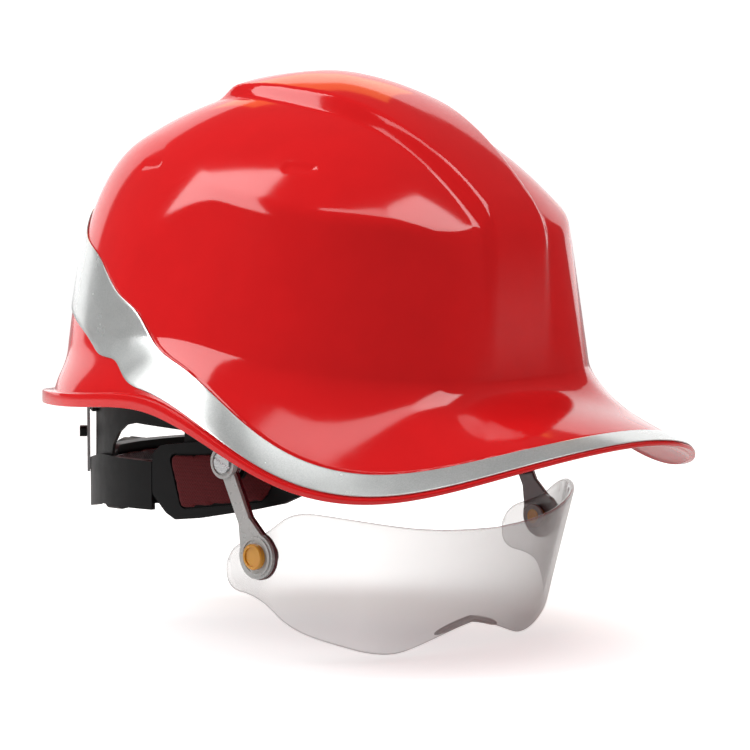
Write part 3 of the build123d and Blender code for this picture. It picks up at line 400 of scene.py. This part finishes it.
def knitted(name, colour, pitch_mm, centre_y=0.0, shade=0.55, sheen=0.4):
    """Knitted cover: rows of small loops round the helmet's upright axis."""
    n = Nodes(name)
    n.set(Roughness=0.9, Sheen_Weight=sheen, Sheen_Roughness=0.5)
    along, up = n.round_and_up(centre_y)
    turns = 2 * math.pi * 1000.0 / pitch_mm
    column = n.math("SINE", n.math("MULTIPLY", along, turns))
    row = n.math("SINE", n.math("ADD", n.math("MULTIPLY", up, turns * 0.7), column))
    loops = n.math("MULTIPLY", n.math("ADD", n.math("MULTIPLY", column, row), 1.0), 0.5)
    fuzz = n.noise(2500.0, 3.0)
    height = n.math("ADD", n.math("MULTIPLY", loops, 0.75), n.math("MULTIPLY", fuzz, 0.25))
    # painted shade: the colour darkens where the loops are low, in the hollows between loops, with some
    # random tone from the fuzz
    n.link(n.blend(n.spread(height, 0, 1, 0.15, 0.85), [c * shade for c in colour], colour),
           n.shader.inputs["Base Color"])
    n.bump(height, 0.25)
    return n.material


def webbing_cloth(name, colour):
    """Woven strap with fine ribs across it, drawn in the strap's own UVs."""
    n = Nodes(name)
    n.set(Roughness=0.8, Sheen_Weight=0.35, Sheen_Roughness=0.4)
    split = n.add("ShaderNodeSeparateXYZ")
    n.link(n.add("ShaderNodeTexCoord").outputs["UV"], split.inputs[0])
    rib = n.math("SINE", n.math("MULTIPLY", split.outputs["X"], 2 * math.pi / RIB_PITCH))
    yarn = n.math("SINE", n.math("MULTIPLY", split.outputs["Y"], 2 * math.pi / YARN_PITCH))
    crossing = n.math("MULTIPLY", rib, yarn)
    weave = n.math("ADD", n.math("MULTIPLY", rib, 0.3), n.math("MULTIPLY", crossing, 0.2))
    height = n.math("ADD", weave, 0.5)
    # painted shade: the colour darkens where the weave is low, in the hollows between ribs and yarns
    n.link(n.blend(height, [c * 0.45 for c in colour], colour), n.shader.inputs["Base Color"])
    n.bump(height, 0.2)
    return n.material


def metal(name, colour, rough, brushed_scale):
    n = Nodes(name)
    n.set(Metallic=1.0)
    stretch = n.add("ShaderNodeMapping")
    stretch.inputs["Scale"].default_value = (1.0, 1.0, 14.0)
    n.link(n.place, stretch.inputs["Vector"])
    streaks = n.noise(brushed_scale, 4.0, stretch.outputs["Vector"])
    n.link(n.blend(n.spread(streaks, 0, 1), [c * 0.75 for c in colour], colour),
           n.shader.inputs["Base Color"])
    n.link(n.spread(streaks, rough - 0.08, rough + 0.1), n.shader.inputs["Roughness"])
    n.bump(streaks, 0.02)
    return n.material


def band_film(name):
    """Silver reflective film: fine metal flakes under a smooth face."""
    n = Nodes(name)
    n.set(Metallic=0.6, Coat_Weight=0.2, Coat_Roughness=0.1)
    flakes = n.add("ShaderNodeTexVoronoi")
    flakes.inputs["Scale"].default_value = 2600.0
    n.link(n.place, flakes.inputs["Vector"])
    grey = n.spread(flakes.outputs["Color"], 0, 1, 0.0, 1.0)
    n.link(n.blend(grey, (0.70, 0.72, 0.71), (0.84, 0.86, 0.85)), n.shader.inputs["Base Color"])
    n.link(n.spread(n.noise(90.0, 4.0), 0.20, 0.28), n.shader.inputs["Roughness"])
    n.bump(n.noise(700.0, 2.0), 0.02)
    return n.material


def clear_lens(name, colour, alpha):
    """Lightly smoked polycarbonate that lets through most of what is behind it."""
    n = Nodes(name)
    n.set(IOR=1.58, Coat_Weight=0.6, Coat_Roughness=0.03)
    haze = n.noise(35.0, 3.0)
    n.link(n.blend(n.spread(haze, 0, 1), [c * 0.92 for c in colour], colour),
           n.shader.inputs["Base Color"])
    n.link(n.spread(n.noise(120.0, 3.0), 0.05, 0.12), n.shader.inputs["Roughness"])
    facing = n.add("ShaderNodeLayerWeight")
    facing.inputs["Blend"].default_value = 0.35
    n.link(n.spread(facing.outputs["Facing"], alpha, 0.85, 0.1, 1.0), n.shader.inputs["Alpha"])
    n.bump(n.noise(25.0, 1.0), 0.05)
    return n.material


# ---------------------------------------------------------------- materials
red = moulded("shell_red", (0.88, 0.011, 0.013), 0.09, 1.6, 0.002, shade=0.95, spread=0.03,
              Specular_IOR_Level=0.5)
silver = band_film("trim_silver")
black = moulded("black_plastic", (0.004, 0.004, 0.0045), 0.42, 0.7, 0.02, Specular_IOR_Level=0.2)
grey = moulded("grey_plastic", (0.42, 0.42, 0.42), 0.40, 0.8, 0.02)
strip = moulded("strip_grey", (0.50, 0.51, 0.52), 0.30, 0.9, 0.02, Transmission_Weight=0.25)
arm = moulded("arm_grey", (0.50, 0.50, 0.49), 0.28, 0.9, 0.012, shade=0.9, Metallic=0.25, Coat_Weight=0.3)
arm_edge = moulded("arm_edge", (0.10, 0.010, 0.016), 0.14, 1.2, 0.006, Coat_Weight=0.7)
amber = moulded("knob_amber", (0.78, 0.36, 0.03), 0.22, 1.0, 0.02, Coat_Weight=0.4, Subsurface_Weight=0.15,
                Subsurface_Scale=0.002)
nose = moulded("nose_soft", (0.80, 0.76, 0.74), 0.30, 1.0, 0.02, Alpha=0.55)
steel = metal("steel", (0.66, 0.66, 0.67), 0.28, 140.0)
pad_cloth = knitted("pad_fabric", (0.045, 0.045, 0.05), 1.3, RING_Y)
red_cloth = knitted("side_red", (0.115, 0.0015, 0.004), 1.1, RING_Y, shade=0.75, sheen=0.03)
webbing = webbing_cloth("webbing", (0.07, 0.07, 0.075))
lens_clear = clear_lens("lens_clear", (0.42, 0.42, 0.415), 0.17)

NODE_MATERIALS = {
    "headband": black, "anchor_clips": black, "ratchet_base": black, "ratchet_cover": black,
    "ratchet_pinion": grey, "ratchet_knob": black, "size_strap_right": black, "size_strap_left": black,
    "bracket_screws": steel,
}
PAIR_MATERIALS = {
    "nape_yoke": black, "side_frame": black, "height_strip": strip, "height_peg": black,
    "visor_bracket": black, "pivot_screw": steel, "pivot_nut": steel, "pivot_washer": grey,
    "visor_arm": arm, "arm_spine": arm_edge, "tilt_knob": amber, "tilt_flange": grey,
}
for name, material in PAIR_MATERIALS.items():
    for side in ("_right", "_left"):
        NODE_MATERIALS[name + side] = material
for name, material in NODE_MATERIALS.items():
    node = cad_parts[name]
    for place in node.material_slots:
        place.link = "OBJECT"
        place.material = material
    edge = node.modifiers.new("edge", "BEVEL")
    edge.width = EDGE_ROUND * MM
    edge.segments = 2
    edge.limit_method = "ANGLE"
    edge.angle_limit = math.radians(EDGE_ANGLE)


# ---------------------------------------------------------------- shell and trim
def sunk(rho, z, sink):
    """Move each point of a profile square to itself by its own depth."""
    drho, dz = np.gradient(rho, axis=0), np.gradient(z, axis=0)
    length = np.hypot(drho, dz)
    return rho + dz / length * sink, z - drho / length * sink


def make_shell():
    phi = np.arange(COLUMNS) * 2 * np.pi / COLUMNS
    rho, z = skin_profile(phi, DOME_ROWS, SKIRT_ROWS)
    inner_rho, inner_z = offset_profile(rho, z, -WALL_THICK)
    edge_rho, edge_z = rho[-1], z[-1]
    sink = vent_depth(phi, rho, z)
    beyond = up_from_rim(rho, z) - keyed(TRIM_HIGH, phi)
    ahead = smooth((np.cos(phi) + 0.35) / 0.3)
    sink = sink + GROOVE_DEPTH * ahead * smooth(1 - np.abs(beyond - GROOVE_WIDTH / 2) / (GROOVE_WIDTH / 2))
    rho, z = sunk(rho, z, sink)
    ledge, lip = keyed(LEDGE, phi), keyed(LIP, phi)
    corners = [np.stack([rho[-2], z[-2]]), np.stack([edge_rho, edge_z]),
               np.stack([edge_rho + ledge, edge_z]), np.stack([edge_rho + ledge, edge_z - lip]),
               np.stack([edge_rho + ledge - LIP_THICK, edge_z - lip]),
               np.stack([inner_rho[-2], inner_z[-2]])]
    rim = rounded(corners, LIP_ROUND)[1:-1]
    inside = slice(-3, None, -3)
    rows = [np.stack([r, h]) for r, h in zip(rho[:-1], z[:-1])] + rim
    rows += [np.stack([r, h]) for r, h in zip(inner_rho[inside], inner_z[inside])]
    points = turned(phi, np.array([r[0] for r in rows]), np.array([r[1] for r in rows]))
    faces = grid_faces(len(rows), COLUMNS)
    top, under = len(points), len(points) + 1
    last = (len(rows) - 1) * COLUMNS
    crown = z[0].mean() + 0.02
    points = np.vstack([points, [(0, 0, crown), (0, 0, inner_z[0].mean())]])
    for j in range(COLUMNS):
        k = (j + 1) % COLUMNS
        faces += [(top, k, j), (under, last + j, last + k)]
    return add_piece("shell_skin", points, faces, 50)


def make_trim():
    phi = np.arange(COLUMNS) * 2 * np.pi / COLUMNS
    rho, z = skin_profile(phi, DOME_ROWS, SKIRT_ROWS)
    climb = up_from_rim(rho, z)[::-1]
    low, high = keyed(TRIM_LOW, phi), keyed(TRIM_HIGH, phi)
    layers = []
    for distance in (TRIM_GAP, TRIM_GAP + TRIM_THICK):
        off_rho, off_z = (part[::-1] for part in offset_profile(rho, z, distance))
        rows = []
        for share in np.linspace(0, 1, 15):
            at = low + (high - low) * share
            pick = [[np.interp(at[j], climb[:, j], part[:, j]) for j in range(COLUMNS)]
                    for part in (off_rho, off_z)]
            rows.append(np.array(pick))
        layers.append(rows)
    rows = layers[1] + layers[0][::-1]
    rows = rounded([rows[-1]] + rows + [rows[0]], 0.15)[1:-1]
    points = turned(phi, np.array([r[0] for r in rows]), np.array([r[1] for r in rows]))
    return add_piece("trim_film", points, grid_faces(len(rows), COLUMNS, wrap_rows=True), 50)


finish_piece(make_shell(), "helmet", red, "shell_red", "shell")
finish_piece(make_trim(), "helmet", silver, "trim_silver", "trim_band")


# ---------------------------------------------------------------- eye shield
def corners_cut(outline, rounds=3):
    """Open outline with its corners cut again and again, which makes it a smooth line."""
    points = np.array(outline, float)
    for _ in range(rounds):
        early = 0.75 * points[:-1] + 0.25 * points[1:]
        late = 0.25 * points[:-1] + 0.75 * points[1:]
        middle = np.stack([early, late], 1).reshape(-1, 2)
        points = np.vstack([points[:1], middle, points[-1:]])
    return points


def lens_plan():
    """Lengths round the lens from its middle, with plan positions and outward directions."""
    t = np.linspace(0, math.pi / 2, 400)
    depth = LENS_FRONT_Y - LENS_EAR_Y
    place = np.stack([LENS_HALF_WIDTH * np.sin(t), LENS_EAR_Y + depth * np.cos(t)], 1)
    away = np.stack([np.sin(t) / LENS_HALF_WIDTH, np.cos(t) / depth], 1)
    away /= np.linalg.norm(away, axis=1, keepdims=True)
    place = np.vstack([place, [LENS_HALF_WIDTH, LENS_EAR_Y + LENS_EAR_REACH]])
    away = np.vstack([away, [1, 0]])
    run = np.concatenate([[0], np.cumsum(np.linalg.norm(np.diff(place, axis=0), axis=1))])
    return run, place, away


def make_lens():
    """One smooth sheet: curved front and flat ears, swept back, with rounded edges."""
    run, place, away = lens_plan()
    top, bottom = corners_cut(LENS_TOP), corners_cut(LENS_BOTTOM)
    end = LENS_TOP[-1][0]
    turn = np.linspace(-math.pi / 2, math.pi / 2, LENS_COLUMNS)
    section = [(0, -1, 0.0), (0, -0.7, 0.7), (0, 0, 1)]
    section += [(share, 0, 1) for share in np.linspace(0, 1, LENS_ROWS)[1:-1]]
    section += [(1, 0, 1), (1, 0.7, 0.7), (1, 1, 0.0), (1, 0.7, -0.7), (1, 0, -1)]
    section += [(share, 0, -1) for share in np.linspace(1, 0, LENS_ROWS)[1:-1]]
    section += [(0, 0, -1), (0, -0.7, -0.7)]
    lean, half_thick = math.tan(math.radians(LENS_TILT)), LENS_THICK / 2
    points = []
    for angle in turn:
        along = end * math.sin(angle)
        side, reach = math.copysign(1, along), abs(along)
        high = np.interp(reach, top[:, 0], top[:, 1]) - half_thick
        low = np.interp(reach, bottom[:, 0], bottom[:, 1]) + half_thick
        high = max(high, low + 0.1)
        x, y = (np.interp(reach, run, place[:, k]) for k in (0, 1))
        nx, ny = (np.interp(reach, run, away[:, k]) for k in (0, 1))
        for share, past, off in section:
            z = high + (low - high) * share - past * half_thick
            shift = off * half_thick
            points.append((side * (x + nx * shift), y + ny * shift + (LENS_LEVEL_Z - z) * lean, z))
    size = len(section)
    faces = grid_faces(LENS_COLUMNS, size)
    faces += [tuple(range(size))[::-1], tuple(range((LENS_COLUMNS - 1) * size, LENS_COLUMNS * size))]
    return add_piece("lens_sheet", points, faces, 60)


def make_nose_saddle():
    """Soft bead that wraps the lens's lower edge over the nose."""
    run, place, away = lens_plan()
    bottom = corners_cut(LENS_BOTTOM)
    lean = math.tan(math.radians(LENS_TILT))
    turn = np.linspace(0, 2 * math.pi, NOSE_SIDES, endpoint=False)
    points = []
    for along in np.linspace(-NOSE_REACH, NOSE_REACH, NOSE_STEPS):
        side, reach = math.copysign(1, along), abs(along)
        x, y = (np.interp(reach, run, place[:, k]) for k in (0, 1))
        nx, ny = (np.interp(reach, run, away[:, k]) for k in (0, 1))
        edge = np.interp(reach, bottom[:, 0], bottom[:, 1])
        full = math.sqrt(max(1 - (reach / NOSE_REACH) ** 6, 0.02))
        for angle in turn:
            shift = NOSE_INSET + full * NOSE_DEPTH / 2 * math.cos(angle)
            z = edge + NOSE_LIFT + full * NOSE_HEIGHT / 2 * math.sin(angle)
            points.append((side * (x + nx * shift), y + ny * shift + (LENS_LEVEL_Z - z) * lean, z))
    size = len(turn)
    faces = grid_faces(NOSE_STEPS, size)
    faces += [tuple(range(size))[::-1], tuple(range((NOSE_STEPS - 1) * size, NOSE_STEPS * size))]
    return add_piece("nose_saddle", points, faces, 60)


finish_piece(make_lens(), "shield", lens_clear, "lens_clear", "lens")
finish_piece(make_nose_saddle(), "shield", nose, "nose_soft", "nose_pad")


# ---------------------------------------------------------------- crown straps
def ring_point(theta, off):
    """Point on the harness's plan curve, moved outward by off."""
    a, side = math.radians(abs(theta)), -1 if theta > 0 else 1
    if a <= math.pi / 2:
        nx, ny = math.sin(a), math.cos(a)
        x, y = RING_R * nx, RING_R * ny
    else:
        c, s = math.sin(a), -math.cos(a)
        x, y = RING_R * c ** (2 / RING_POWER), -RING_FRONT * s ** (2 / RING_POWER)
        gx = (x / RING_R) ** (RING_POWER - 1) / RING_R
        gy = -(-y / RING_FRONT) ** (RING_POWER - 1) / RING_FRONT
        nx, ny = gx / math.hypot(gx, gy), gy / math.hypot(gx, gy)
    return np.array([side * (x + nx * off), RING_Y + y + ny * off, 0.0])


def make_strap(name, start, end, top):
    """Webbing arch with rolled selvedges; its UVs run in millimetres along and across."""
    a, b = ring_point(start, -STRAP_INSET), ring_point(end, -STRAP_INSET)
    middle, half = (a + b) / 2, np.linalg.norm(b - a) / 2
    way = (b - a) / (2 * half)
    across = np.array([way[1], -way[0], 0.0])
    height = top - STRAP_FOOT
    section = [(-0.5, 0.5), (-0.49, 0.08), (-0.45, 0.0), (-0.4, 0.1), (0.0, 0.12), (0.4, 0.1),
               (0.45, 0.0), (0.49, 0.08), (0.5, 0.5), (0.49, 0.92), (0.45, 1.0), (0.4, 0.9),
               (0.0, 0.88), (-0.4, 0.9), (-0.45, 1.0), (-0.49, 0.92)]
    points, lengths, run, before = [], [], 0.0, None
    for t in np.linspace(0.0, math.pi, STRAP_STEPS):
        row = []
        for share, deep in section:
            h, w = height - STRAP_THICK * deep, half - STRAP_THICK * deep
            along = w * math.copysign(abs(math.cos(t)) ** STRAP_ARCH_POWER, math.cos(t))
            up = STRAP_FOOT + h * math.sin(t) ** STRAP_ARCH_POWER
            row.append(middle + way * along + across * share * STRAP_WIDTH + np.array([0, 0, up]))
        run += 0.0 if before is None else float(np.linalg.norm(row[0] - before))
        before = row[0]
        lengths.append(run)
        points += row
    size = len(section)
    faces = grid_faces(STRAP_STEPS, size)
    faces += [tuple(range(size))[::-1], tuple(range((STRAP_STEPS - 1) * size, STRAP_STEPS * size))]
    strap = add_piece(name, points, faces, 50)
    layer = strap.data.uv_layers.new(name="UVMap")
    for loop in strap.data.loops:
        row, column = divmod(loop.vertex_index, size)
        layer.data[loop.index].uv = (lengths[row], section[column][0] * STRAP_WIDTH)
    return strap


front, side, rear = (ANCHOR_THETA[k] for k in ("front", "side", "rear"))
for name, start, end in (("side", side, -side), ("right", front, -rear), ("left", -front, rear)):
    strap = make_strap(f"crown_webbing_{name}", start, end, STRAP_TOP[name])
    finish_piece(strap, "helmet", webbing, "webbing", f"crown_strap_{name}")


# ---------------------------------------------------------------- pads
def puffed(node, name, voxel_mm, shrink_mm, cap_mm, pressure=4.0):
    """Soft copy of a CAD pad: remeshed, blown up with cloth, and capped near its CAD skin."""
    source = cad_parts[node]
    mesh = source.data.copy()
    piece = bpy.data.objects.new(name, mesh)
    bpy.context.scene.collection.objects.link(piece)
    bpy.context.view_layer.objects.active = piece
    for other in bpy.context.selected_objects:
        other.select_set(False)
    piece.select_set(True)
    remesh = piece.modifiers.new("remesh", "REMESH")
    remesh.mode = "VOXEL"
    remesh.voxel_size = voxel_mm * MM
    bpy.ops.object.modifier_apply(modifier="remesh")
    count = len(piece.data.vertices)
    normal = np.zeros(count * 3)
    piece.data.vertices.foreach_get("normal", normal)
    start = np.zeros(count * 3)
    piece.data.vertices.foreach_get("co", start)
    normal, start = normal.reshape(-1, 3), start.reshape(-1, 3)
    start = start - normal * shrink_mm * MM
    piece.data.vertices.foreach_set("co", start.ravel())
    piece.data.update()
    cloth = piece.modifiers.new("cloth", "CLOTH")
    cloth.settings.use_pressure = True
    cloth.settings.uniform_pressure_force = pressure
    cloth.settings.effector_weights.gravity = 0.0
    cloth.settings.tension_stiffness = 15.0
    for step in range(1, 21):
        bpy.context.scene.frame_set(step)
    bpy.ops.object.modifier_apply(modifier="cloth")
    bpy.context.scene.frame_set(1)
    moved = np.zeros(count * 3)
    piece.data.vertices.foreach_get("co", moved)
    shift = moved.reshape(-1, 3) - start
    size = np.linalg.norm(shift, axis=1, keepdims=True) + 1e-12
    shift *= np.minimum(1.0, cap_mm * MM / size)
    piece.data.vertices.foreach_set("co", (start + shift).ravel())
    piece.data.update()
    piece.data.polygons.foreach_set("use_smooth", [True] * len(piece.data.polygons))
    smoothing = piece.modifiers.new("smooth", "SUBSURF")
    smoothing.levels = smoothing.render_levels = 1
    return piece


for node, (voxel, shrink, cap, fill) in PADS.items():
    cloth, slot = (red_cloth, "side_red") if node.startswith("side") else (pad_cloth, "pad_fabric")
    pad = puffed(node, node + "_cover", voxel, shrink, cap)
    finish_piece(pad, "helmet", cloth, slot, node)


# ---------------------------------------------------------------- floor, light and camera
def studio_paper(name, glow, reflected_glow):
    """White paper that is lit from behind, so that it looks even; it may show dimmer in gloss."""
    n = Nodes(name)
    n.link(n.blend(n.noise(4.0, 2.0), (0.89, 0.89, 0.89), (0.91, 0.91, 0.91)),
           n.shader.inputs["Base Color"])
    n.set(Roughness=0.9, Specular_IOR_Level=0.2, Emission_Color=(1, 1, 1, 1))
    seen = n.add("ShaderNodeLightPath").outputs["Is Camera Ray"]
    n.link(n.spread(seen, reflected_glow, glow, 0.0, 1.0), n.shader.inputs["Emission Strength"])
    return n.material


def add_paper(name, corners, glow, reflected_glow):
    paper = add_piece(name, np.array(corners) / MM, [(0, 1, 2, 3)])
    paper.data.materials.append(studio_paper(name + "_paper", glow, reflected_glow))


def add_softbox(name, place, aim, width, height, radiance, colour=(1, 1, 1)):
    """Rectangular area light of a given brightness, 1 being the white of the picture."""
    light = bpy.data.lights.new(name, "AREA")
    light.shape = "RECTANGLE"
    light.size, light.size_y = width, height
    light.energy = radiance * math.pi * width * height
    light.color = colour
    box = bpy.data.objects.new(name, light)
    box.location = place
    box.rotation_euler = (Vector(aim) - Vector(place)).to_track_quat("-Z", "Y").to_euler()
    bpy.context.scene.collection.objects.link(box)
    return box


def add_panel(name, corners, radiance):
    """Flat lit panel with the given corners, seen only through its light and in gloss."""
    panel = add_piece(name, np.array(corners) / MM, [(0, 1, 2, 3)])
    n = Nodes(name)
    n.link(n.blend(n.noise(3.0, 2.0), (0.0, 0.0, 0.0), (0.02, 0.02, 0.02)),
           n.shader.inputs["Base Color"])
    n.set(Emission_Color=(1, 1, 1, 1), Emission_Strength=radiance)
    panel.data.materials.append(n.material)
    panel.visible_camera = False


def make_world(seen, lighting):
    """Plain world: white where it is seen, dimmer as a light, so that glossy colours stay deep."""
    world = bpy.data.worlds.new("studio")
    world.use_nodes = True
    tree = world.node_tree
    back = tree.nodes["Background"]
    back.inputs["Color"].default_value = (1, 1, 1, 1)
    path = tree.nodes.new("ShaderNodeLightPath")
    level = tree.nodes.new("ShaderNodeMapRange")
    level.inputs["To Min"].default_value = lighting
    level.inputs["To Max"].default_value = seen
    tree.links.new(path.outputs["Is Camera Ray"], level.inputs["Value"])
    tree.links.new(level.outputs["Result"], back.inputs["Strength"])
    return world


# lit panels whose reflections give the shell its bright shapes: corners, and brightness
PANELS = {
    "panel_rear_left": ([(-0.31, 0.95, 1.33), (-0.22, 0.56, 1.70),
                         (-1.75, 0.50, 0.70), (-0.90, 1.40, 0.55)], 5.0),
    "panel_front_top": ([(0.49, -0.36, 1.49), (-0.05, -0.37, 1.64),
                         (0.02, -1.30, 1.20), (0.94, -0.70, 1.20)], 5.0),
    "panel_overhead": ([(-0.94, -0.06, 1.6), (-0.59, 0.04, 1.6),
                        (0.15, -0.45, 1.6), (-0.05, -0.62, 1.6)], 3.2),
}
WHITE_SEEN, WORLD_LIGHTING = 1.0, 0.13
FLOOR_GLOW, BACKDROP_GLOW = 0.6, 1.0
BACKDROP_NEAR, BACKDROP_FAR, BACKDROP_TOP = 0.4, 5.6, 3.4
FLOOR_Z = cad_box[0][2] - 0.001
FLOOR_REACH = 9.0
add_paper("floor", [(-FLOOR_REACH, -FLOOR_REACH, FLOOR_Z), (FLOOR_REACH, -FLOOR_REACH, FLOOR_Z),
                    (FLOOR_REACH, FLOOR_REACH, FLOOR_Z), (-FLOOR_REACH, FLOOR_REACH, FLOOR_Z)],
          FLOOR_GLOW, 0.0)
add_paper("backdrop", [(BACKDROP_NEAR, BACKDROP_FAR, FLOOR_Z), (BACKDROP_FAR, BACKDROP_NEAR, FLOOR_Z),
                       (BACKDROP_FAR, BACKDROP_NEAR, BACKDROP_TOP),
                       (BACKDROP_NEAR, BACKDROP_FAR, BACKDROP_TOP)], BACKDROP_GLOW, BACKDROP_GLOW)

scene = bpy.context.scene
scene.world = make_world(seen=WHITE_SEEN, lighting=WORLD_LIGHTING)
scene.view_settings.view_transform = "Standard"

CAMERA_PLACE = Vector((-1.087, -1.025, 0.1295))
CAMERA_AIM = Vector((0.0115, -0.0131, -0.0047))
camera_data = bpy.data.cameras.new("camera")
camera_data.lens = 174.2
camera_data.sensor_width = 36.0
camera = bpy.data.objects.new("camera", camera_data)
camera.location = CAMERA_PLACE
camera.rotation_euler = (CAMERA_AIM - CAMERA_PLACE).to_track_quat("-Z", "Y").to_euler()
scene.collection.objects.link(camera)
scene.camera = camera

MIDDLE = (0, 0, 0.05)
for name, (corners, radiance) in PANELS.items():
    add_panel(name, corners, radiance)
add_softbox("crown_warm", (0.75, 0.75, 0.85), MIDDLE, 0.6, 0.5, 1.3, (1.0, 0.42, 0.08))
